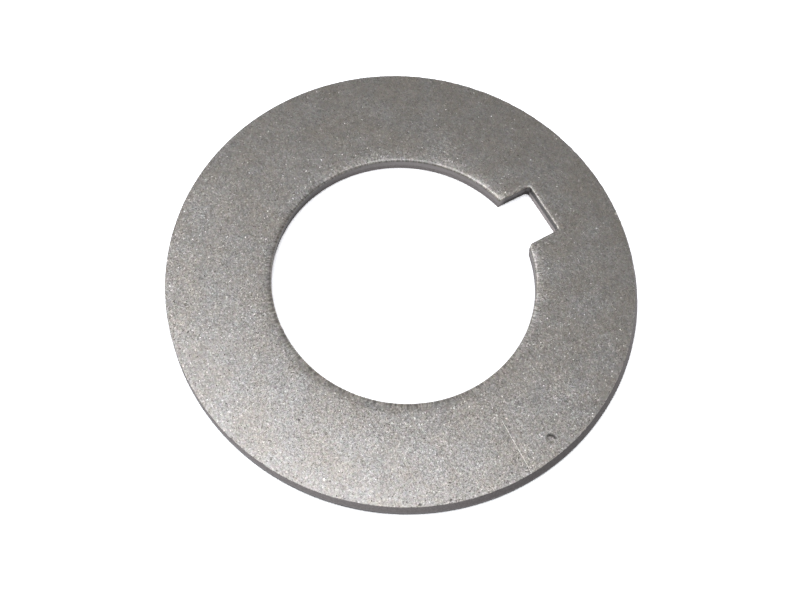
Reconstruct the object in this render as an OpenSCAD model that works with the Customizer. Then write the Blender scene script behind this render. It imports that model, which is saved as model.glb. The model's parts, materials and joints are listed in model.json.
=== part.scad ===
// Keyed shim washer, stamped from flat steel sheet. Lengths are in millimetres.
//
// The bore and its keyway were pierced from above, so their upper edges are
// drawn down into a soft die roll. The rim was blanked from above afterwards,
// so its die roll is underneath and its upper edge is crisp. Every sheared
// wall runs from its die roll through a smooth burnished band to a rough
// fracture zone that leans back into the metal.
//
// The bore's axis is Z, the back face lies on Z = 0 and the keyway points
// along +Y. Left and right are as seen from above with the keyway pointing up.

/* [Washer] */
// Outside diameter, over the burnished band of the rim
outer_d = 50; // [46:0.5:80]
// Diameter of the bore, at its burnished band
bore_d = 28; // [20:0.5:32]
// Thickness of the sheet
thickness = 2; // [1.6:0.1:4]

/* [Keyway] */
// Width between the keyway's sides
key_w = 6; // [3:0.25:10]
// Depth of the keyway's floor beyond the bore
key_depth = 3.5; // [1.5:0.25:5]
// Radius in the two corners of the floor
floor_corner_r = 0.35; // [0.15:0.05:0.8]
// Rounding of the corner between the bore and the left side
left_corner_r = 0.25; // [0.15:0.05:0.8]
// Rounding of the corner between the bore and the right side
right_corner_r = 0.7; // [0.15:0.05:0.8]

/* [Die roll] */
// Width of the die roll round the bore
bore_roll_w = 0.9; // [0.6:0.05:1.2]
// Depth of the die roll round the bore
bore_roll_d = 0.25; // [0.18:0.01:0.35]
// Width of the die roll along the keyway
key_roll_w = 0.45; // [0.3:0.05:0.6]
// Depth of the die roll along the keyway
key_roll_d = 0.15; // [0.12:0.01:0.2]
// Width of the die roll under the rim
rim_roll_w = 0.8; // [0.6:0.05:1.2]
// Depth of the die roll under the rim
rim_roll_d = 0.25; // [0.18:0.01:0.35]
// Slope at which a die roll leaves the flat face, in degrees
roll_start = 4; // [2:0.5:5]

/* [Fracture zone] */
// Height of the fracture zone in the bore and the keyway
pierce_fracture_h = 1; // [0.4:0.05:1.1]
// Height of the fracture zone on the rim
rim_fracture_h = 1.05; // [0.4:0.05:1.1]
// How far a fracture zone leans back into the metal
breakout = 0.12; // [0.05:0.01:0.2]
// Width of the small bevel that tumbling left on the burr edges
burr_bevel = 0.05; // [0.02:0.01:0.1]

/* [Hidden] */
$fn = 180;
outer_r = outer_d / 2;
bore_r = bore_d / 2;
key_half = key_w / 2;
key_floor = bore_r + key_depth;
// How far a cutting shape runs past the face that it cuts
over = 1;

// Axis of the rounding in the right-hand corner of the keyway's floor
floor_axis = [key_half - floor_corner_r, key_floor - floor_corner_r];
// Distance of an entry rounding's axis from both walls, as a share of its radius
entry_stand_off = 0.96;

// Space beside a sheared wall, seen in section. The burnished band stands on
// x = 0 with the metal to its right. The side that the punch entered is at
// y = thickness, the burr side is at y = 0, and the space reaches left to -reach.
// The die roll is one arc, from the flat face down to the top of the band.
module sheared_space(roll_w, roll_d, fracture_h, reach) {
    top = thickness + over;
    arc_r = (pow(roll_w, 2) + pow(roll_d, 2))
        / (2 * (roll_d * cos(roll_start) - roll_w * sin(roll_start)));
    arc_x = roll_w + arc_r * sin(roll_start);
    arc_y = thickness - arc_r * cos(roll_start);

    difference() {
        translate([-reach, thickness - 2 * roll_d]) square([reach + arc_x, 2 * roll_d + over]);
        translate([arc_x, arc_y]) circle(arc_r);
    }
    polygon([
        [-reach, -over],
        [breakout + burr_bevel, -over],
        [breakout + burr_bevel, 0],
        [breakout, burr_bevel],
        [0, fracture_h],
        [0, top],
        [-reach, top]
    ]);
}

// The round ring before its keyway is cut. The rim's space is the bore's kind of
// space turned upside down and outwards.
module ring() {
    rotate_extrude() difference() {
        translate([bore_r - over, 0]) square([outer_r - bore_r + over, thickness]);
        translate([bore_r, 0])
            sheared_space(bore_roll_w, bore_roll_d, pierce_fracture_h, 2 * over);
        translate([outer_r, thickness]) rotate(180)
            sheared_space(rim_roll_w, rim_roll_d, rim_fracture_h, over);
    }
}

// Space beside a wall of the keyway
module key_space(reach) {
    sheared_space(key_roll_w, key_roll_d, pierce_fracture_h, reach);
}

// The right side of the keyway, from the bore's axis to the floor's corner
module key_side_cut() {
    translate([key_half, floor_axis[1], 0]) rotate([90, 0, 0])
        linear_extrude(floor_axis[1]) key_space(key_half + over);
}

module key_floor_cut() {
    translate([-floor_axis[0], key_floor, 0]) rotate([90, 0, 90])
        linear_extrude(2 * floor_axis[0]) key_space(key_depth);
}

// The half of a section that lies on the right of the axis it turns about
module right_half() {
    intersection() {
        children();
        translate([0, -over]) square([key_w, thickness + 2 * over]);
    }
}

// The right-hand corner of the keyway's floor
module floor_corner_cut() {
    translate(floor_axis) rotate_extrude(angle = 90) right_half()
        translate([floor_corner_r, 0]) key_space(key_half);
}

// Rounds the corner that stands between the bore and the keyway's right side.
// The rounding's axis is in the metal, so near to both walls that its arc
// crosses them at a slight angle.
module entry_corner_cut(corner_r) {
    stand_off = entry_stand_off * corner_r;
    axis_x = key_half + stand_off;
    axis_y = sqrt(pow(bore_r + stand_off, 2) - pow(axis_x, 2));
    side_foot = [-stand_off, 0];
    bore_foot = -stand_off * [axis_x, axis_y] / norm([axis_x, axis_y]);
    translate([axis_x, axis_y, -over]) linear_extrude(thickness + 2 * over) difference() {
        polygon([side_foot, bore_foot, 2 * (side_foot + bore_foot)]);
        circle(corner_r);
    }
}

module keyway_cut() {
    key_side_cut();
    mirror([1, 0, 0]) key_side_cut();
    key_floor_cut();
    floor_corner_cut();
    mirror([1, 0, 0]) floor_corner_cut();
}

// The ring with its keyway, whose entry corners are still sharp
module keyed_ring() {
    difference() {
        ring();
        keyway_cut();
    }
}

module washer() {
    color([0.38, 0.37, 0.35]) difference() {
        keyed_ring();
        entry_corner_cut(right_corner_r);
        mirror([1, 0, 0]) entry_corner_cut(left_corner_r);
    }
}

washer();
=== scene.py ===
"""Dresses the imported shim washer: the torn and rolled edges of a stamping, and tumbled bare steel.

Lengths are in metres, in the part's own frame: the bore's axis is Z, the back face lies on
Z = 0 and the keyway points along +Y. MM turns a length given in millimetres into metres.
"""

import json
import math
import bpy
import numpy as np
from mathutils import Matrix, Vector, noise


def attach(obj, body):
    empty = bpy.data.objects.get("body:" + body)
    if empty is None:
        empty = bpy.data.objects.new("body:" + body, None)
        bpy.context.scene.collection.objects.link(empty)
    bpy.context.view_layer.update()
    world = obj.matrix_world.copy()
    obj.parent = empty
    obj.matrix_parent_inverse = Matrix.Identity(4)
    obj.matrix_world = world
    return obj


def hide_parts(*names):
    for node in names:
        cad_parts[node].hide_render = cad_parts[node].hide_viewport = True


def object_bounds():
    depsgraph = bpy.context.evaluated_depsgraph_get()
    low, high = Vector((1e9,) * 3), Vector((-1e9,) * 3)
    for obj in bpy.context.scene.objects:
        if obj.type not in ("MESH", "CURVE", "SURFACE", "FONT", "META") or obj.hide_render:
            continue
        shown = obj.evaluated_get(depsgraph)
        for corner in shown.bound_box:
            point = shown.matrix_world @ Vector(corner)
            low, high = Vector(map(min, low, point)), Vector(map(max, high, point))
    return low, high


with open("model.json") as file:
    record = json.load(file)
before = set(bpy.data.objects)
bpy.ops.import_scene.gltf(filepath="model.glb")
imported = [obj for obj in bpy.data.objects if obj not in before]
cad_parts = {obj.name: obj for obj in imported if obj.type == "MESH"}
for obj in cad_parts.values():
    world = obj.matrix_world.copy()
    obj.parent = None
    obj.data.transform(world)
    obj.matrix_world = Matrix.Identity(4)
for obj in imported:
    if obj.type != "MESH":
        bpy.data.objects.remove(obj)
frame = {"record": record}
cad_low, cad_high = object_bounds()

MM = 0.001

# The washer, as in the part's source
THICKNESS = cad_high[2] - cad_low[2]
OUTER_R = (cad_high[1] - cad_low[1]) / 2
BORE_R = next(m for m in frame["record"]["mounts"] if m["name"] == "bore")["dims"]["r_mm"] * MM
KEY_HALF = 3.0 * MM
KEY_FLOOR = BORE_R + 3.5 * MM
FLOOR_CORNER_R = 0.35 * MM
LEFT_CORNER_R = 0.25 * MM
RIGHT_CORNER_R = 0.7 * MM
BORE_ROLL_W = 0.9 * MM
BORE_ROLL_D = 0.25 * MM
KEY_ROLL_W = 0.45 * MM
KEY_ROLL_D = 0.15 * MM
RIM_ROLL_W = 0.8 * MM
RIM_ROLL_D = 0.25 * MM
PIERCE_FRACTURE_H = 1.0 * MM
RIM_FRACTURE_H = 1.05 * MM
BREAKOUT = 0.12 * MM
BURR_BEVEL = 0.05 * MM

# The camera, fitted to the outlines in the photo: its direction from the point that it aims at and
# its roll, in degrees; that point, its distance from it and the nearest that it sees; and its lens
# and sensor, whose numbers are millimetres
CAMERA_AZIMUTH = -37.33
CAMERA_ELEVATION = 66.5
CAMERA_ROLL = 8.4
CAMERA_AIM = Vector((2.135, -1.779, 2.0)) * MM
CAMERA_DISTANCE = 127.58 * MM
CAMERA_NEAREST = 10 * MM
LENS = 54.95
SENSOR_WIDTH = 36.0

# The floor: half its side, so that it ends where it is still lit white, and its level as it lights
# the washer, as metal mirrors it and as the camera sees it. The camera's level leaves only the deep
# shadow at the washer's foot.
FLOOR_HALF = 250 * MM
FLOOR_GREY = 0.9
FLOOR_MIRRORED = 1.15
FLOOR_SEEN = 2.25

# The room: the light of its walls and of its ceiling, and the heights between which the one fades
# into the other, where 0 is the horizon and 1 is overhead
WALL_LIGHT = 0.95
CEILING_LIGHT = 0.335
WALLS_END = 0.1
CEILING_START = 0.6

# The windows, which are discs that face the washer. In the photo's view the face's near left part
# mirrors the high one most, and the die roll's right part the low one.
HIGH_WINDOW_PLACE = Vector((14, -56, 355)) * MM
HIGH_WINDOW_WIDTH = 290 * MM
HIGH_WINDOW_POWER = 0.55
LOW_WINDOW_AZIMUTH = 212
LOW_WINDOW_ELEVATION = 53
LOW_WINDOW_DISTANCE = 360 * MM
LOW_WINDOW_WIDTH = 110 * MM
LOW_WINDOW_POWER = 0.18
DAYLIGHT = (0.93, 0.955, 1.02)

# What the tools and the tumbling drum did to the washer, down to its dents and scuffs, and the
# painted shade and painted light on its edges, walls and face

# The rim's upper edge is a circle whose centre is off the axis, because the blanking punch stood
# off the middle of its die. It comes no nearer to the burnished band than the bevel is wide.
RIM_TOP_OFFSET = np.array([-0.25, -0.19]) * MM
# A die roll is up to this share wider or narrower along its length
ROLL_SWAY = 0.15
SWAY_WAVE = 5 * MM
# A die roll sags gently over a little more than its width, and turns over into the wall over the
# last share of it. The sag takes a share of the depth.
SAG_WIDTH = 1.5
TURN_WIDTH = 0.34
SAG_DEPTH = 0.42
# How far the face bends down to the rim and to the bore, and over what width
RIM_SAG_D = 0.05 * MM
RIM_SAG_W = 4.5 * MM
BORE_SAG_D = 0.06 * MM
BORE_SAG_W = 5.0 * MM
# How much the burnished bands wander in height
BAND_SWAY = 0.09 * MM
BAND_WAVE = 2 * MM
# How deep the fracture zones are torn. The depth follows half a wave over the zone's height, which
# is moved by a share of that height towards the burr edge of the rim and of the bore.
TORN_DEPTH = 0.03 * MM
TORN_WAVE = 0.35 * MM
RIM_TORN_FROM = 0.15
BORE_TORN_FROM = 0.1
# Depth of the hollows and swells of the rolled sheet
FACE_SWELL = 0.012 * MM
SWELL_WAVE = 6 * MM
# How ragged the rim's upper edge is, and its nicks: azimuth in degrees, half-width, depth
RAGGED_DEPTH = 0.03 * MM
RAGGED_WAVE = 0.7 * MM
RIM_NICKS = (
    (-73, 0.3 * MM, 0.06 * MM),
    (-64, 0.4 * MM, 0.08 * MM),
    (-88, 0.25 * MM, 0.05 * MM),
    (-41, 0.3 * MM, 0.05 * MM),
    (-12, 0.25 * MM, 0.04 * MM),
)

# Painted shade and painted light, given as how light the steel is: a line of painted shade along
# the edge between the die roll and the bore's wall; painted shade on the rim's burnished band,
# darker towards its foot where the washer's contact shadow falls; and in the keyway painted shade on
# its band, painted light in its fracture zone, and deeper painted shade in its left wall's zone. The
# keyway's shades come in over a short way past the bore.
EDGE_PAINTED_SHADE = 0.3
RIM_BAND_PAINTED_SHADE = 0.66
RIM_FOOT_PAINTED_SHADE = 0.3
KEY_BAND_PAINTED_SHADE = 0.46
KEY_ZONE_PAINTED_LIGHT = 1.75
KEY_LEFT_PAINTED_SHADE = 0.33
KEY_SHADE_FADE = 0.5 * MM
# Painted shade on the rim's shadow side, on the left of the bore's wall and die roll, and on the die
# roll where it dims a highlight: azimuth of the middle and half the span in degrees, and how much
# light each takes
RIM_PAINTED_SHADE = ((11, 38, 0.5),)
WALL_PAINTED_SHADE = ((208, 38, 0.58),)
ROLL_PAINTED_SHADE = ((208, 38, 0.5), (144, 26, 0.45))

# Dents in the top face: x, y, radius. A dent has a crescent of painted shade outside a lit circle
# that is off its middle by a share of its radius.
DENTS = (
    (22.4 * MM, 4.2 * MM, 0.6 * MM),
    (11.2 * MM, -15.4 * MM, 0.17 * MM),
    (-14.4 * MM, -17.3 * MM, 0.16 * MM),
    (-7.9 * MM, -21.5 * MM, 0.18 * MM),
    (10.5 * MM, 13.8 * MM, 0.15 * MM),
    (12.3 * MM, 9.0 * MM, 0.15 * MM),
    (-15.0 * MM, 9.0 * MM, 0.15 * MM),
)
DENT_LIT_SHIFT = 0.35
# Scratches in the top face: x and y of the start, x and y of the end, width
SCRATCHES = (
    (17.9 * MM, 0.75 * MM, 24.5 * MM, 0.5 * MM, 0.09 * MM),
    (20.2 * MM, 1.2 * MM, 24.6 * MM, 0.95 * MM, 0.05 * MM),
)
# Scuffs on the top face: the two ways they run in degrees, how far apart they are across, the
# share as fine that they are along, the patches where they are thick (x, y, radius), and how strong
# they are there and at most elsewhere
SCUFF_AZIMUTHS = (12, 45)
SCUFF_WAVE = 0.14 * MM
SCUFF_STRETCH = 0.2
SCUFF_PATCHES = (
    (-17.6 * MM, -14.0 * MM, 3.4 * MM),
    (18.9 * MM, 8.2 * MM, 2.6 * MM),
    (-11.5 * MM, 11.5 * MM, 3.2 * MM),
)
PATCH_STRENGTH = 0.7
STRAY_STRENGTH = 0.35

# The steel's colour, warmer and cooler on the face, and on the sheared walls, and the share of a
# random hue that is mixed in
WARM_STEEL = (0.400, 0.368, 0.328, 1)
COOL_STEEL = (0.377, 0.358, 0.335, 1)
WALL_STEEL = (0.404, 0.371, 0.364, 1)
HUE_SHARE = 0.07
# How far apart the lumps of each pattern are, from the broadest clouds to the finest specks
CLOUD_WAVE = 3.0 * MM
PIT_WAVE = 2.2 * MM
PATCH_WAVE = 1.6 * MM
MOTTLE_WAVE = 0.45 * MM
HUE_WAVE = 0.35 * MM
GRAIN_WAVE = 0.2 * MM
STREAK_WAVE = 0.2 * MM
TEAR_WAVE = 0.15 * MM
POLISH_WAVE = 0.13 * MM
FACET_WAVE = 0.115 * MM
SPECK_WAVE = 0.11 * MM
LINE_WAVE = 0.1 * MM
# Patterns that were drawn out are this share as fine along their length: the streaks over the die
# roll, the lines down the burnished bands and the tears down the fracture zones
STREAK_STRETCH = 0.3
LINE_STRETCH = 0.06
TEAR_STRETCH = 0.5
# The largest pit's radius, as a share of the distance between pits. A higher rarity leaves fewer
# pits near that size, and fewer facets that sparkle.
LARGEST_PIT = 0.08
PIT_RARITY = 4.0
SPARKLE_RARITY = 10.0
# How light each pattern leaves the steel, from its darkest to its lightest, and how light the
# burnished bands, the darkest painted shade in a dent and the middle of a scratch are. The die
# roll's drawn streaks are lightened into a painted highlight, the pits' lightest is a painted glint,
# the bands' darkness is painted shade, and the torn grain is painted darker for the shade in its
# tears.
MOTTLE_SHADES = (0.85, 1.14)
SPECK_SHADES = (0.72, 1.28)
PATCH_SHADES = (0.94, 1.06)
TEAR_SHADES = (0.56, 0.86)
STREAK_AND_HIGHLIGHT_SHADES = (0.76, 1.52)
PIT_AND_GLINT_SHADES = (0.35, 1.9)
BAND_PAINTED_SHADE = 0.68
PAINTED_CRESCENT_SHADE = 0.25
SCRATCH_SHADE = 1.45
# Roughness of the face, the die roll, the burnished bands and the fracture zones, and how much
# polish and sparkle change it on the face
FACE_ROUGHNESS = (0.355, 0.385)
ROLL_ROUGHNESS = (0.3, 0.48)
BAND_ROUGHNESS = 0.4
FRACTURE_ROUGHNESS = 0.65
POLISH_RANGE = (0.93, 1.06)
SPARKLE_POLISH = 0.35
# Where the polish is looked up, so that it doesn't follow the specks
POLISH_SHIFT = (0.03, 0.01, 0.02)
# Depths of the fine relief
STREAK_DEPTH = 0.036 * MM
LINE_DEPTH = 0.004 * MM
TEAR_DEPTH = 0.03 * MM
DENT_DEPTH = 0.018 * MM
SCRATCH_DEPTH = 0.01 * MM
# How far the grain and its facets tilt the normal, how much more a facet that sparkles does, and the
# share of this that is left on the walls and the die roll
GRAIN_TILT = 0.33
FACET_TILT = 0.05
SPARKLE_TILT = 0.4
WORKED_TILT = 0.4

# The mesh: steps along the inner outline, rows across each surface, and the power by which the rows
# of the die roll crowd towards its wall
BORE_STEP = 0.108 * MM
KEY_STEP = 0.08 * MM
CORNER_STEPS = 8
ROLL_ROWS = 14
ROLL_CROWDING = 1.8
FACE_ROWS = 40
BACK_ROWS = 7
LAND_ROWS = 5
FRACTURE_ROWS = 9
RIM_ROLL_ROWS = 6

# Names of the mesh's attributes: how much each point is burnished band, fracture zone or die
# roll, and the painted shade and painted light there, as how light the steel is, from 1 where there
# is none
LAND = "land"
FRACTURE = "fracture"
ROLL = "roll"
PAINTED_SHADE = "shade"
MARKS = (LAND, FRACTURE, ROLL, PAINTED_SHADE)


def direction(azimuth, elevation):
    """The unit vector at an azimuth from +X and an elevation, both in degrees."""
    azimuth, elevation = math.radians(azimuth), math.radians(elevation)
    level = math.cos(elevation)
    return Vector((level * math.cos(azimuth), level * math.sin(azimuth), math.sin(elevation)))


def lump_noise(points, wave, seed, octaves=3):
    """Smooth noise of about -1 to 1 at each point, whose lumps are about one wave apart."""
    shift = np.array([17.3, -9.1, 5.7]) * seed
    scaled = np.zeros((len(points), 3))
    scaled[:, :np.shape(points)[1]] = np.asarray(points) / wave
    return np.array([noise.fractal(Vector(p), 1.0, 2.0, octaves) for p in scaled + shift])


def arc(centre, radius, start, end, steps):
    """Points along an arc, its last one left out, and their directions from its centre."""
    angle = np.linspace(start, end, steps, endpoint=False)
    spoke = np.stack([np.cos(angle), np.sin(angle)], axis=1)
    return np.array(centre) + radius * spoke, spoke


def line(start, end, step):
    """Points along a straight line, its last one left out."""
    start, end = np.array(start), np.array(end)
    steps = max(2, round(float(np.linalg.norm(end - start)) / step))
    return start + (end - start) * np.linspace(0, 1, steps, endpoint=False)[:, None]


def right_outline(entry_r):
    """The inner outline from the point opposite the keyway, up its right side, to the floor's middle.

    Gives the points and, at each, the direction into the metal.
    """
    entry_x = KEY_HALF + entry_r
    entry_y = math.sqrt((BORE_R + entry_r) ** 2 - entry_x**2)
    entry_angle = math.atan2(entry_y, entry_x)
    bore_steps = round((entry_angle + math.pi / 2) * BORE_R / BORE_STEP)
    bore, bore_in = arc((0, 0), BORE_R, -math.pi / 2, entry_angle, bore_steps)

    entry, entry_out = arc((entry_x, entry_y), entry_r, entry_angle - math.pi, -math.pi, CORNER_STEPS)
    corner_at = (KEY_HALF - FLOOR_CORNER_R, KEY_FLOOR - FLOOR_CORNER_R)
    side = line((KEY_HALF, entry_y), (KEY_HALF, corner_at[1]), KEY_STEP)
    corner, corner_in = arc(corner_at, FLOOR_CORNER_R, 0, math.pi / 2, CORNER_STEPS)
    floor = line((corner_at[0], KEY_FLOOR), (0, KEY_FLOOR), KEY_STEP)
    points = np.concatenate([bore, entry, side, corner, floor])
    inward = np.concatenate([
        bore_in,
        -entry_out,
        np.tile((1.0, 0.0), (len(side), 1)),
        corner_in,
        np.tile((0.0, 1.0), (len(floor), 1)),
    ])
    return points, inward


def inner_outline():
    """The whole outline of the bore and keyway, anticlockwise from the point opposite the keyway."""
    right, right_in = right_outline(RIGHT_CORNER_R)
    left, left_in = right_outline(LEFT_CORNER_R)
    mirror = np.array([-1.0, 1.0])
    middle = np.array([[0.0, KEY_FLOOR]])
    points = np.concatenate([right, middle, left[:0:-1] * mirror])
    inward = np.concatenate([right_in, [[0.0, 1.0]], left_in[:0:-1] * mirror])
    return points, inward


def keyway_distance(x, y):
    """Distance from a point of the metal to the keyway's walls, and far away below the axis."""
    past_side = np.abs(x) - (KEY_HALF - FLOOR_CORNER_R)
    past_floor = y - (KEY_FLOOR - FLOOR_CORNER_R)
    outside = np.hypot(np.maximum(past_side, 0), np.maximum(past_floor, 0))
    distance = outside + np.minimum(np.maximum(past_side, past_floor), 0) - FLOOR_CORNER_R
    return np.where(y > 0, np.maximum(distance, 0), OUTER_R)


def painted_shade_round(plane, smudges):
    """How light patches of painted shade round the axis leave the steel at each point."""
    angle = np.arctan2(plane[:, 1], plane[:, 0])
    light = np.ones(len(plane))
    for azimuth, half_span, depth in smudges:
        gap = np.arccos(np.cos(angle - math.radians(azimuth))) / math.radians(half_span)
        light *= 1 - depth * np.exp(-gap**2)
    return light


def roll_drop(distance, width, depth):
    """How far a die roll lies below the face at a distance from its wall."""
    sag = np.clip(1 - distance / (SAG_WIDTH * width), 0, 1)
    turn = np.clip(1 - distance / (TURN_WIDTH * width), 0, 1)
    return depth * (SAG_DEPTH * sag**2 + (1 - SAG_DEPTH) * (1 - np.sqrt(1 - turn**2)))


def top_drop(plane):
    """How far the top face lies below the sheet's full thickness, and how much of it is die roll."""
    x, y = plane.T
    sway = 1 + ROLL_SWAY * lump_noise(plane, SWAY_WAVE, seed=1)
    bore_width = BORE_ROLL_W * sway
    key_width = KEY_ROLL_W * sway
    bore_gap = np.maximum(np.hypot(x, y) - BORE_R, 0)
    key_gap = keyway_distance(x, y)
    bore_drop = roll_drop(bore_gap, bore_width, BORE_ROLL_D * sway)
    key_drop = roll_drop(key_gap, key_width, KEY_ROLL_D * sway)
    drop = bore_drop + key_drop
    share = np.maximum(1 - bore_gap / bore_width, 1 - key_gap / key_width)
    swell = FACE_SWELL * np.clip(0.5 + 0.5 * lump_noise(plane, SWELL_WAVE, seed=2), 0, 1)
    rim_gap = np.maximum(OUTER_R - np.hypot(x, y), 0)
    sag = RIM_SAG_D * np.clip(1 - rim_gap / RIM_SAG_W, 0, 1) ** 2
    sag += BORE_SAG_D * np.clip(1 - bore_gap / BORE_SAG_W, 0, 1) ** 2
    return drop + swell + sag, np.clip(share, 0, 1)


def circle_points(radius, angle):
    return np.stack([radius * np.cos(angle), radius * np.sin(angle)], axis=1)


def rim_top_inset(angle):
    """How far the rim's upper edge stands back from its burnished band, round the rim."""
    spoke = circle_points(1, angle)
    even = BREAKOUT + BURR_BEVEL - spoke @ RIM_TOP_OFFSET
    ragged = RAGGED_DEPTH * (0.5 + lump_noise(spoke * OUTER_R, RAGGED_WAVE, seed=3))
    inset = np.maximum(even + ragged, BURR_BEVEL)
    for azimuth, half_width, depth in RIM_NICKS:
        gap = np.linalg.norm(spoke - circle_points(1, np.radians([azimuth])), axis=1) * OUTER_R
        inset = inset + depth * np.clip(1 - gap / half_width, 0, 1)
    return inset


class Rows:
    """Rows of points round the washer, in order across its skin, with what each row is."""

    def __init__(self):
        self.points = []
        self.marks = []
        self.creased = []

    def add(self, plane, z, land=0.0, fracture=0.0, roll=0.0, shade=1.0):
        count = len(plane)
        height = np.broadcast_to(np.asarray(z, float), (count,))
        self.points.append(np.column_stack([plane, height]))
        columns = [np.broadcast_to(np.asarray(v, float), (count,)) for v in (land, fracture, roll, shade)]
        self.marks.append(np.column_stack(columns))
        self.creased.append(False)


def add_top_face(rows, inner, rim_top):
    """From the edge of the bore and keyway, over the die rolls, out to the rim's upper edge."""
    reach = np.linalg.norm(rim_top - inner, axis=1)
    heading = (rim_top - inner) / reach[:, None]
    near = SAG_WIDTH * BORE_ROLL_W * np.linspace(0, 1, ROLL_ROWS) ** ROLL_CROWDING
    far = near[-1] + (reach - near[-1]) * np.linspace(0, 1, FACE_ROWS + 1)[1:, None]
    for gap in [*np.broadcast_to(near[:, None], (ROLL_ROWS, len(inner))), *far]:
        plane = inner + heading * gap[:, None]
        drop, share = top_drop(plane)
        # Painted shade on the die roll, on the left of the bore and where it dims a highlight
        shade = 1 + share * (painted_shade_round(plane, ROLL_PAINTED_SHADE) - 1)
        # The row along the wall's edge is a line of painted shade
        if not rows.points:
            shade = EDGE_PAINTED_SHADE
        rows.add(plane, THICKNESS - drop, roll=share, shade=shade)
    rows.creased[-1] = True


def torn(points, seed):
    """How deep the torn grain of a fracture zone is at each point, with flat places between tears."""
    return TORN_DEPTH * np.clip(0.5 + 0.8 * lump_noise(points, TORN_WAVE, seed), 0, 1.2)


def add_rim(rows, angle, inset):
    """Down the rim: bevel, fracture zone, burnished band, die roll."""
    edge = circle_points(OUTER_R, angle)
    foot = THICKNESS - RIM_FRACTURE_H + BAND_SWAY * lump_noise(edge, BAND_WAVE, seed=4)
    top = THICKNESS - BURR_BEVEL
    # Painted shade on the rim's shadow side
    shade = painted_shade_round(edge, RIM_PAINTED_SHADE)
    for part in np.linspace(0, 1, FRACTURE_ROWS + 1):
        z = top + (foot - top) * part
        radius = OUTER_R - (inset - BURR_BEVEL) * (1 - part)
        solid = np.column_stack([circle_points(radius, angle), z])
        radius = radius - torn(solid, seed=5) * math.sin(math.pi * min(part + RIM_TORN_FROM, 1))
        rows.add(circle_points(radius, angle), z, fracture=1.0, shade=shade)
    rows.creased[-1] = True
    for part in np.linspace(0, 1, LAND_ROWS + 1)[1:]:
        z = foot + (RIM_ROLL_D - foot) * part
        # The burnished band is painted shade, darker towards the foot where the contact shadow falls
        band_shade = RIM_BAND_PAINTED_SHADE + (RIM_FOOT_PAINTED_SHADE - RIM_BAND_PAINTED_SHADE) * part**2
        rows.add(edge, z, land=1.0, shade=band_shade * shade)
    for turn in np.linspace(0, math.pi / 2, RIM_ROLL_ROWS + 1)[1:]:
        radius = OUTER_R - RIM_ROLL_W * (1 - math.cos(turn))
        z = RIM_ROLL_D * (1 - math.sin(turn))
        rows.add(circle_points(radius, angle), z, land=1.0, shade=RIM_FOOT_PAINTED_SHADE * shade)


def add_back_face(rows, inner, inward, angle):
    """From the foot of the rim's die roll in to the burr edge of the bore and keyway."""
    outer = circle_points(OUTER_R - RIM_ROLL_W, angle)
    edge = inner + inward * (BREAKOUT + BURR_BEVEL)
    for part in np.linspace(0, 1, BACK_ROWS + 1)[1:]:
        rows.add(outer + (edge - outer) * part, 0.0)
    rows.creased[-1] = True


def add_inner_wall(rows, inner, inward):
    """Up the bore and the keyway: bevel, fracture zone, burnished band."""
    edge_z = rows.points[0][:, 2]
    in_keyway = np.clip((inner[:, 1] - BORE_R) / KEY_SHADE_FADE, 0, 1)
    on_left = in_keyway * (inner[:, 0] < FLOOR_CORNER_R - KEY_HALF)
    # Painted shade on the left of the bore's wall; in the keyway painted shade on the band, painted light
    # in the fracture zone and deeper painted shade on the left wall
    painted_wall_shade = painted_shade_round(inner, WALL_PAINTED_SHADE)
    band_shade = painted_wall_shade * (1 + in_keyway * (KEY_BAND_PAINTED_SHADE - 1))
    zone_shade = 1 + in_keyway * (KEY_ZONE_PAINTED_LIGHT - 1) + on_left * (KEY_LEFT_PAINTED_SHADE - KEY_ZONE_PAINTED_LIGHT)
    zone_shade = painted_wall_shade * zone_shade
    top = PIERCE_FRACTURE_H + BAND_SWAY * lump_noise(inner, BAND_WAVE, seed=6)
    for part in np.linspace(0, 1, FRACTURE_ROWS + 1):
        z = BURR_BEVEL + (top - BURR_BEVEL) * part
        lean = BREAKOUT * (1 - part)
        solid = np.column_stack([inner, z])
        # The zone's last row is where the burnished band starts, and isn't torn
        tearing = math.sin(math.pi * min(1 - part + BORE_TORN_FROM, 1)) * (part < 1)
        depth = torn(solid, seed=7) * tearing
        rows.add(inner + inward * (lean + depth)[:, None], z, fracture=1.0, shade=zone_shade)
    rows.creased[-1] = True
    for part in np.linspace(0, 1, LAND_ROWS + 1)[1:-1]:
        rows.add(inner, top + (edge_z - top) * part, land=1.0, shade=band_shade)


def washer_rows():
    """All the rows of the skin, and how many points each has.

    A point of the inner outline goes with the point of the rim that is as far round.
    """
    inner, inward = inner_outline()
    step = np.linalg.norm(np.roll(inner, -1, axis=0) - inner, axis=1)
    travelled = np.concatenate([[0], np.cumsum(step)[:-1]])
    angle = -math.pi / 2 + 2 * math.pi * travelled / step.sum()
    inset = rim_top_inset(angle)
    rows = Rows()
    add_top_face(rows, inner, circle_points(OUTER_R - inset, angle))
    add_rim(rows, angle, inset)
    add_back_face(rows, inner, inward, angle)
    add_inner_wall(rows, inner, inward)
    return rows, len(inner)


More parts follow.
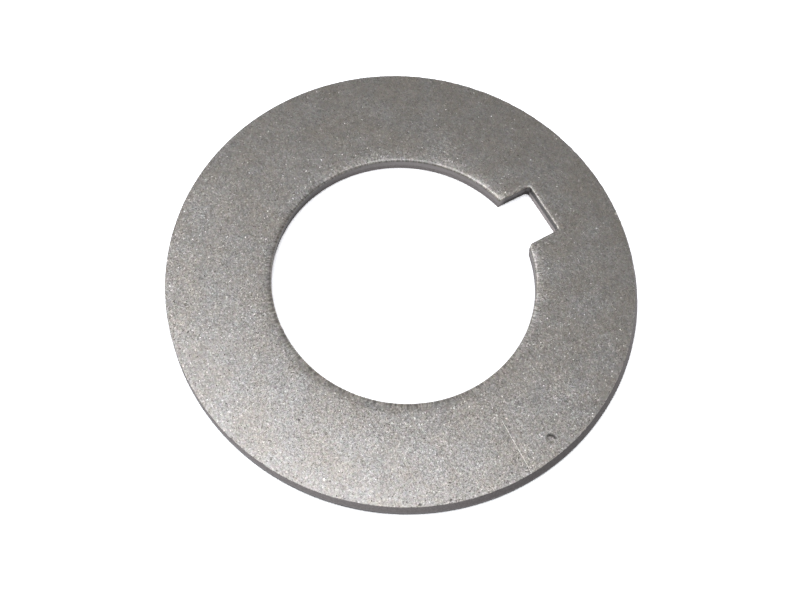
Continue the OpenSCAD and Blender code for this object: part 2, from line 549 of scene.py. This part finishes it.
def washer_mesh():
    rows, count = washer_rows()
    row_count = len(rows.points)
    row = np.arange(row_count)[:, None] * count
    next_row = (np.arange(row_count)[:, None] + 1) % row_count * count
    along = np.arange(count)[None, :]
    next_along = (along + 1) % count
    quads = np.stack([row + along, next_row + along, next_row + next_along, row + next_along], axis=2)
    mesh = bpy.data.meshes.new("washer_skin")
    mesh.from_pydata(np.concatenate(rows.points).tolist(), [], quads.reshape(-1, 4).tolist())
    mesh.polygons.foreach_set("use_smooth", np.ones(len(mesh.polygons), bool))
    for name, column in zip(MARKS, np.concatenate(rows.marks).T):
        mesh.attributes.new(name, "FLOAT", "POINT").data.foreach_set("value", column.astype(np.float32))

    # An edge is sharp where it runs along a creased row
    ends = np.empty(2 * len(mesh.edges), int)
    mesh.edges.foreach_get("vertices", ends)
    first_row, second_row = ends.reshape(-1, 2).T // count
    sharp = (first_row == second_row) & np.array(rows.creased)[first_row]
    mesh.attributes.new("sharp_edge", "BOOLEAN", "EDGE").data.foreach_set("value", sharp)
    mesh.update()
    return mesh


class Nodes:
    """Shorthand for building a material's nodes."""

    def __init__(self, tree):
        self.tree = tree
        self.tree.nodes.clear()

    def add(self, kind, **inputs):
        """A node of that kind. Names with a value set its sockets or properties, and a socket links."""
        node = self.tree.nodes.new("ShaderNode" + kind)
        for name, value in inputs.items():
            if hasattr(node, name):
                setattr(node, name, value)
                continue
            key = int(name[1:]) if name[0] == "i" and name[1:].isdigit() else name.replace("_", " ")
            socket = node.inputs[key]
            if isinstance(value, bpy.types.NodeSocket):
                self.tree.links.new(value, socket)
            else:
                socket.default_value = value
        return node

    def math(self, operation, *values):
        inputs = {"i%d" % i: v for i, v in enumerate(values)}
        return self.add("Math", operation=operation, **inputs).outputs[0]

    def product(self, first, *others):
        """All the values multiplied together."""
        for other in others:
            first = self.math("MULTIPLY", first, other)
        return first

    def vector(self, operation, *values, **named):
        inputs = {"i%d" % i: v for i, v in enumerate(values)}
        node = self.add("VectorMath", operation=operation, **inputs, **named)
        scalar = operation in ("DOT_PRODUCT", "DISTANCE", "LENGTH")
        return node.outputs["Value" if scalar else "Vector"]

    def attribute(self, name):
        return self.add("Attribute", attribute_name=name).outputs["Fac"]

    def noise(self, place, wave, detail=2.0, roughness=0.5):
        """Noise of 0 to 1, most of it from 0.3 to 0.7, whose lumps are about one wave apart."""
        node = self.add("TexNoise", Vector=place, Scale=1 / wave, Detail=detail, Roughness=roughness)
        return node.outputs["Fac"]

    def rescale(self, value, low, high, to_low=0.0, to_high=1.0):
        """Value with low to high turned into to_low to to_high, and cut off there."""
        node = self.add("MapRange", Value=value, i1=low, i2=high, i3=to_low, i4=to_high)
        return node.outputs[0]

    def blend(self, share, first, second):
        return self.add("Mix", data_type="FLOAT", i0=share, i2=first, i3=second).outputs[0]

    def tint(self, share, first, second):
        """A mix of two colours."""
        return self.add("Mix", data_type="RGBA", i0=share, i6=first, i7=second).outputs[2]


def grain(nodes, place):
    """The tumbled grain: a random sideways push for the normal."""
    push = nodes.add("TexNoise", Vector=place, Scale=1 / GRAIN_WAVE, Detail=3.0, Roughness=0.65)
    return nodes.vector("SUBTRACT", push.outputs["Color"], (0.5, 0.5, 0.5))


def facets(nodes, place):
    """Flat facets in the grain: a random push for the normal, and how much each sparkles, near 1 in few."""
    cell = nodes.add("TexVoronoi", Vector=place, Scale=1 / FACET_WAVE).outputs["Color"]
    push = nodes.vector("SUBTRACT", cell, (0.5, 0.5, 0.5))
    chance = nodes.add("SeparateColor", Color=cell).outputs["Blue"]
    return push, nodes.math("POWER", chance, SPARKLE_RARITY)


def dents(nodes, place):
    """How deep the surface is in a dent, and its crescent of painted shade, each from 0 outside to 1."""
    depth = painted_crescent = 0.0
    for x, y, radius in DENTS:
        gap = nodes.vector("DISTANCE", place, (x, y, THICKNESS))
        inside = nodes.rescale(gap, radius, 0.5 * radius)
        depth = nodes.math("MAXIMUM", depth, inside)
        shift = DENT_LIT_SHIFT * radius
        lit_gap = nodes.vector("DISTANCE", place, (x + shift, y - shift, THICKNESS))
        crescent = nodes.product(inside, nodes.rescale(lit_gap, 0.6 * radius, 0.9 * radius))
        painted_crescent = nodes.math("MAXIMUM", painted_crescent, crescent)
    return depth, painted_crescent


def worn_share(nodes, place):
    """How thick the scuffs are, from 0 outside the patches to 1 in the middle of one."""
    worn = 0.0
    for x, y, radius in SCUFF_PATCHES:
        gap = nodes.vector("DISTANCE", place, (x, y, THICKNESS))
        worn = nodes.math("MAXIMUM", worn, nodes.rescale(gap, radius, 0.3 * radius))
    return worn


def scuffs(nodes, place):
    """Short strokes in two directions, from 0 beside them to 1 along their middles."""
    strokes = 0.0
    for azimuth in SCUFF_AZIMUTHS:
        along = nodes.product(nodes.vector("DOT_PRODUCT", place, direction(azimuth, 0)), SCUFF_STRETCH)
        across = nodes.vector("DOT_PRODUCT", place, direction(azimuth + 90, 0))
        stretched = nodes.add("CombineXYZ", X=along, Y=across, Z=0.0).outputs[0]
        stroke = nodes.rescale(nodes.noise(stretched, SCUFF_WAVE), 0.54, 0.7)
        strokes = nodes.math("MAXIMUM", strokes, stroke)
    return strokes


def scratch_share(nodes, place):
    """How far in a scratch the surface is, from 0 outside to 1 along its middle."""
    share = 0.0
    for start_x, start_y, end_x, end_y, width in SCRATCHES:
        length = math.hypot(end_x - start_x, end_y - start_y)
        along = ((end_x - start_x) / length, (end_y - start_y) / length, 0)
        across = (-along[1], along[0], 0)
        offset = nodes.vector("SUBTRACT", place, (start_x, start_y, 0))
        gap = nodes.math("ABSOLUTE", nodes.vector("DOT_PRODUCT", offset, across))
        run = nodes.math("DIVIDE", nodes.vector("DOT_PRODUCT", offset, along), length)
        inside = nodes.product(nodes.rescale(run, 0.0, 0.2), nodes.rescale(run, 1.0, 0.9))
        groove = nodes.product(inside, nodes.rescale(gap, width / 2, 0.0))
        share = nodes.math("MAXIMUM", share, groove)
    return share


def pit_and_glint_shade(nodes, place, face):
    """How light the sparse pits leave the face, half of them dark and half painted glints. Each is in a
    cell of its own and of its own size.
    """
    cell = nodes.add("TexVoronoi", Vector=place, Scale=1 / PIT_WAVE).outputs
    chance = nodes.add("SeparateColor", Color=cell["Color"]).outputs
    radius = nodes.product(nodes.math("POWER", chance["Red"], PIT_RARITY), LARGEST_PIT)
    pit = nodes.product(nodes.math("LESS_THAN", cell["Distance"], radius), face)
    painted_glint = nodes.math("GREATER_THAN", chance["Green"], 0.5)
    return nodes.blend(pit, 1.0, nodes.blend(painted_glint, *PIT_AND_GLINT_SHADES))


def drawn_streaks(nodes, place):
    """Streaks of 0 to 1 that run from the bore over its die roll, where the metal was drawn."""
    parts = nodes.add("SeparateXYZ", Vector=place).outputs
    turn = nodes.math("ARCTAN2", parts["Y"], parts["X"])
    radius = nodes.vector("LENGTH", nodes.vector("MULTIPLY", place, (1, 1, 0)))
    unrolled = nodes.add("CombineXYZ", X=nodes.product(turn, BORE_R), Y=radius, Z=0.0).outputs[0]
    return nodes.noise(nodes.vector("MULTIPLY", unrolled, (1, STREAK_STRETCH, 1)), STREAK_WAVE)


class Surface:
    """What the steel's colour, roughness and relief have in common, as sockets of its material."""

    def __init__(self, nodes):
        place = nodes.add("TexCoord").outputs["Object"]
        self.place = place
        self.land = nodes.attribute(LAND)
        self.fracture = nodes.attribute(FRACTURE)
        self.roll = nodes.attribute(ROLL)
        self.wall = nodes.math("MAXIMUM", self.land, self.fracture)
        self.face = nodes.math("SUBTRACT", 1.0, self.wall)

        self.cloud = nodes.noise(place, CLOUD_WAVE)
        self.mottle = nodes.noise(place, MOTTLE_WAVE, 4.0, 0.65)
        self.facet_push, self.sparkle = facets(nodes, place)
        self.grain_push = grain(nodes, place)
        dent, painted_crescent = dents(nodes, place)
        self.dent = nodes.product(dent, self.face)
        self.painted_crescent = nodes.product(painted_crescent, self.face)
        self.scratch = nodes.product(scratch_share(nodes, place), self.face)
        self.streak = drawn_streaks(nodes, place)
        drawn_down = nodes.vector("MULTIPLY", place, (1, 1, TEAR_STRETCH))
        self.tearing = nodes.noise(drawn_down, TEAR_WAVE, 4.0, 0.7)


def steel_colour(nodes, surface):
    """The steel's colour with its clouds, grain, pits, scratches and scuffs, and its painted shade,
    painted glints and painted highlight.
    """
    colour = nodes.tint(nodes.rescale(surface.cloud, 0.35, 0.65), WARM_STEEL, COOL_STEEL)
    hue = nodes.add("TexNoise", Vector=surface.place, Scale=1 / HUE_WAVE, Detail=2.0).outputs["Color"]
    colour = nodes.tint(HUE_SHARE, colour, hue)
    colour = nodes.tint(surface.wall, colour, WALL_STEEL)

    speck = nodes.noise(surface.place, SPECK_WAVE, 1.0)
    patch = nodes.noise(surface.place, PATCH_WAVE, 3.0)
    face_shade = nodes.product(
        nodes.rescale(surface.mottle, 0.25, 0.75, *MOTTLE_SHADES),
        nodes.rescale(speck, 0.25, 0.75, *SPECK_SHADES),
        nodes.rescale(patch, 0.3, 0.7, *PATCH_SHADES),
    )
    # Over the steel's own shades: painted shade on the burnished bands and in the torn grain, a painted
    # highlight in the die roll's streaks, the mesh's painted shade and light, painted glints among the
    # pits, and painted shade in the dents' crescents
    torn_shade = nodes.rescale(surface.tearing, 0.3, 0.7, *TEAR_SHADES)
    wall_shade = nodes.blend(surface.fracture, BAND_PAINTED_SHADE, torn_shade)
    shade = nodes.product(
        nodes.blend(surface.wall, face_shade, wall_shade),
        nodes.blend(surface.roll, 1.0, nodes.rescale(surface.streak, 0.4, 0.62, *STREAK_AND_HIGHLIGHT_SHADES)),
        nodes.attribute(PAINTED_SHADE),
        pit_and_glint_shade(nodes, surface.place, surface.face),
        nodes.rescale(surface.painted_crescent, 0.0, 0.7, 1.0, PAINTED_CRESCENT_SHADE),
        nodes.rescale(surface.scratch, 0.0, 0.5, 1.0, SCRATCH_SHADE),
    )
    colour = nodes.vector("SCALE", colour, Scale=shade)

    # Scuffs, where the washer slid over others
    worn = nodes.product(worn_share(nodes, surface.place), PATCH_STRENGTH)
    worn = nodes.math("MAXIMUM", worn, nodes.rescale(surface.cloud, 0.45, 0.65, 0.0, STRAY_STRENGTH))
    scuff = nodes.product(scuffs(nodes, surface.place), worn, surface.face)
    return nodes.vector("SCALE", colour, Scale=nodes.math("ADD", scuff, 1.0))


def steel_roughness(nodes, surface):
    polish = nodes.noise(nodes.vector("ADD", surface.place, POLISH_SHIFT), POLISH_WAVE, 1.0)
    roughness = nodes.product(
        nodes.rescale(surface.mottle, 0.3, 0.7, *FACE_ROUGHNESS),
        nodes.rescale(polish, 0.25, 0.75, *POLISH_RANGE),
        nodes.math("MULTIPLY_ADD", surface.sparkle, -SPARKLE_POLISH, 1.0),
    )
    on_roll = nodes.rescale(surface.streak, 0.3, 0.7, *ROLL_ROUGHNESS)
    roughness = nodes.blend(surface.roll, roughness, on_roll)
    roughness = nodes.blend(surface.land, roughness, BAND_ROUGHNESS)
    return nodes.blend(surface.fracture, roughness, FRACTURE_ROUGHNESS)


def steel_normal(nodes, surface):
    """The normal: fine relief, and over it the grain and its facets, which are softer where worked."""
    lines = nodes.noise(nodes.vector("MULTIPLY", surface.place, (1, 1, LINE_STRETCH)), LINE_WAVE, 3.0)
    height = nodes.product(surface.streak, surface.roll, STREAK_DEPTH)
    band_lines = nodes.product(lines, surface.land, LINE_DEPTH)
    tears = nodes.product(surface.tearing, surface.fracture, TEAR_DEPTH)
    height = nodes.math("ADD", height, nodes.math("ADD", band_lines, tears))
    height = nodes.math("SUBTRACT", height, nodes.product(surface.dent, DENT_DEPTH))
    height = nodes.math("SUBTRACT", height, nodes.product(surface.scratch, SCRATCH_DEPTH))
    height = nodes.product(height, 1 / MM)
    normal = nodes.add("Bump", Strength=1.0, Distance=MM, Height=height).outputs["Normal"]

    tilt = nodes.blend(nodes.math("MAXIMUM", surface.wall, surface.roll), 1.0, WORKED_TILT)
    grain_tilt = nodes.product(tilt, GRAIN_TILT)
    facet_tilt = nodes.product(tilt, nodes.math("MULTIPLY_ADD", surface.sparkle, SPARKLE_TILT, FACET_TILT))
    normal = nodes.vector("ADD", normal, nodes.vector("SCALE", surface.grain_push, Scale=grain_tilt))
    normal = nodes.vector("ADD", normal, nodes.vector("SCALE", surface.facet_push, Scale=facet_tilt))
    return nodes.vector("NORMALIZE", normal)


def steel_material():
    material = bpy.data.materials.new("tumbled_steel")
    material.use_nodes = True
    nodes = Nodes(material.node_tree)
    surface = Surface(nodes)
    colour = steel_colour(nodes, surface)
    roughness = steel_roughness(nodes, surface)
    normal = steel_normal(nodes, surface)
    look = {"Base_Color": colour, "Roughness": roughness, "Normal": normal}
    metal = nodes.add("BsdfPrincipled", Metallic=1.0, **look)
    nodes.add("OutputMaterial", Surface=metal.outputs[0])
    return material


def floor_material():
    material = bpy.data.materials.new("pale_floor")
    material.use_nodes = True
    nodes = Nodes(material.node_tree)
    path = nodes.add("LightPath").outputs
    mirrored = nodes.math("MAXIMUM", path["Is Glossy Ray"], path["Is Transmission Ray"])
    level = nodes.blend(mirrored, FLOOR_GREY, FLOOR_MIRRORED)
    level = nodes.blend(path["Is Camera Ray"], level, FLOOR_SEEN)
    colour = nodes.vector("SCALE", (1, 1, 1), Scale=level)
    paper = nodes.add("BsdfDiffuse", Color=colour)
    nodes.add("OutputMaterial", Surface=paper.outputs[0])
    return material


def make_washer():
    washer = bpy.data.objects.new("washer_skin", washer_mesh())
    bpy.context.scene.collection.objects.link(washer)
    washer.data.materials.append(steel_material())
    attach(washer, "root")
    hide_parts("washer")


def make_floor():
    mesh = bpy.data.meshes.new("floor")
    corners = [(x * FLOOR_HALF, y * FLOOR_HALF, 0) for x, y in ((-1, -1), (1, -1), (1, 1), (-1, 1))]
    mesh.from_pydata(corners, [], [(0, 1, 2, 3)])
    floor = bpy.data.objects.new("floor", mesh)
    bpy.context.scene.collection.objects.link(floor)
    mesh.materials.append(floor_material())


def make_camera():
    back = direction(CAMERA_AZIMUTH, CAMERA_ELEVATION)
    camera = bpy.data.objects.new("camera", bpy.data.cameras.new("camera"))
    camera.data.sensor_width = SENSOR_WIDTH
    camera.data.lens = LENS
    camera.data.clip_start = CAMERA_NEAREST
    level = back.to_track_quat("Z", "Y").to_matrix()
    turn = Matrix.Rotation(math.radians(CAMERA_ROLL), 3, "Z")
    pose = (level @ turn).to_4x4()
    pose.translation = CAMERA_AIM + back * CAMERA_DISTANCE
    camera.matrix_world = pose
    bpy.context.scene.collection.objects.link(camera)
    bpy.context.scene.camera = camera


def make_window(name, place, width, power):
    lamp = bpy.data.lights.new(name, "AREA")
    lamp.shape = "DISK"
    lamp.size = width
    lamp.energy = power
    lamp.color = DAYLIGHT
    window = bpy.data.objects.new(name, lamp)
    window.location = place
    window.rotation_euler = place.to_track_quat("Z", "Y").to_euler()
    window.visible_camera = False
    bpy.context.scene.collection.objects.link(window)


def make_sky():
    """A dim ceiling over pale walls, and plain white where the camera sees it."""
    world = bpy.data.worlds.new("studio")
    bpy.context.scene.world = world
    world.use_nodes = True
    nodes = Nodes(world.node_tree)
    up = nodes.add("SeparateXYZ", Vector=nodes.add("TexCoord").outputs["Generated"]).outputs["Z"]
    strength = nodes.rescale(up, WALLS_END, CEILING_START, WALL_LIGHT, CEILING_LIGHT)
    camera_ray = nodes.add("LightPath").outputs["Is Camera Ray"]
    strength = nodes.blend(camera_ray, strength, 1.0)
    sky = nodes.add("Background", Color=(1, 1, 1, 1), Strength=strength).outputs[0]
    nodes.add("OutputWorld", Surface=sky)


def main():
    bpy.context.scene.view_settings.view_transform = "Standard"
    make_camera()
    make_window("high window", HIGH_WINDOW_PLACE, HIGH_WINDOW_WIDTH, HIGH_WINDOW_POWER)
    low_window_place = direction(LOW_WINDOW_AZIMUTH, LOW_WINDOW_ELEVATION) * LOW_WINDOW_DISTANCE
    make_window("low window", low_window_place, LOW_WINDOW_WIDTH, LOW_WINDOW_POWER)
    make_sky()
    make_floor()
    make_washer()
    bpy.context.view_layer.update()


main()
